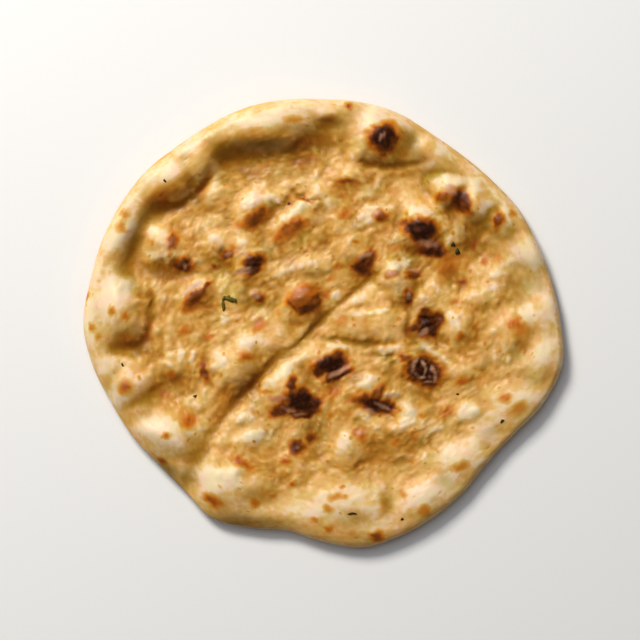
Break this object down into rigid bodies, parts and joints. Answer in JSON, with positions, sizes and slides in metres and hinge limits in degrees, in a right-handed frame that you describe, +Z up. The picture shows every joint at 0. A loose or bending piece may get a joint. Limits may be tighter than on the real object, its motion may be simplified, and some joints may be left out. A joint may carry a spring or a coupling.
{
  "type": "naan bread",
  "caption": "Round leavened flatbread with a puffed, rolled rim, a rumpled and blistered middle with charred spots, and a flat underside that lies on a plate or board.",
  "frame": {"origin": "middle of the underside, on the surface that the bread lies on", "axes": "+Z up out of the top crust; +Y towards the edge with the highest roll of the rim; +X to its right, seen from above"},
  "size_m": [0.2403, 0.2245, 0.0169],
  "materials": {
    "bread": "baked crust, cream on the puffs, golden in the middle, with brown and charred blisters and a light sheen of butter"
  },
  "bodies": {
    "root": {"naan": "bread"}
  },
  "joints": []
}
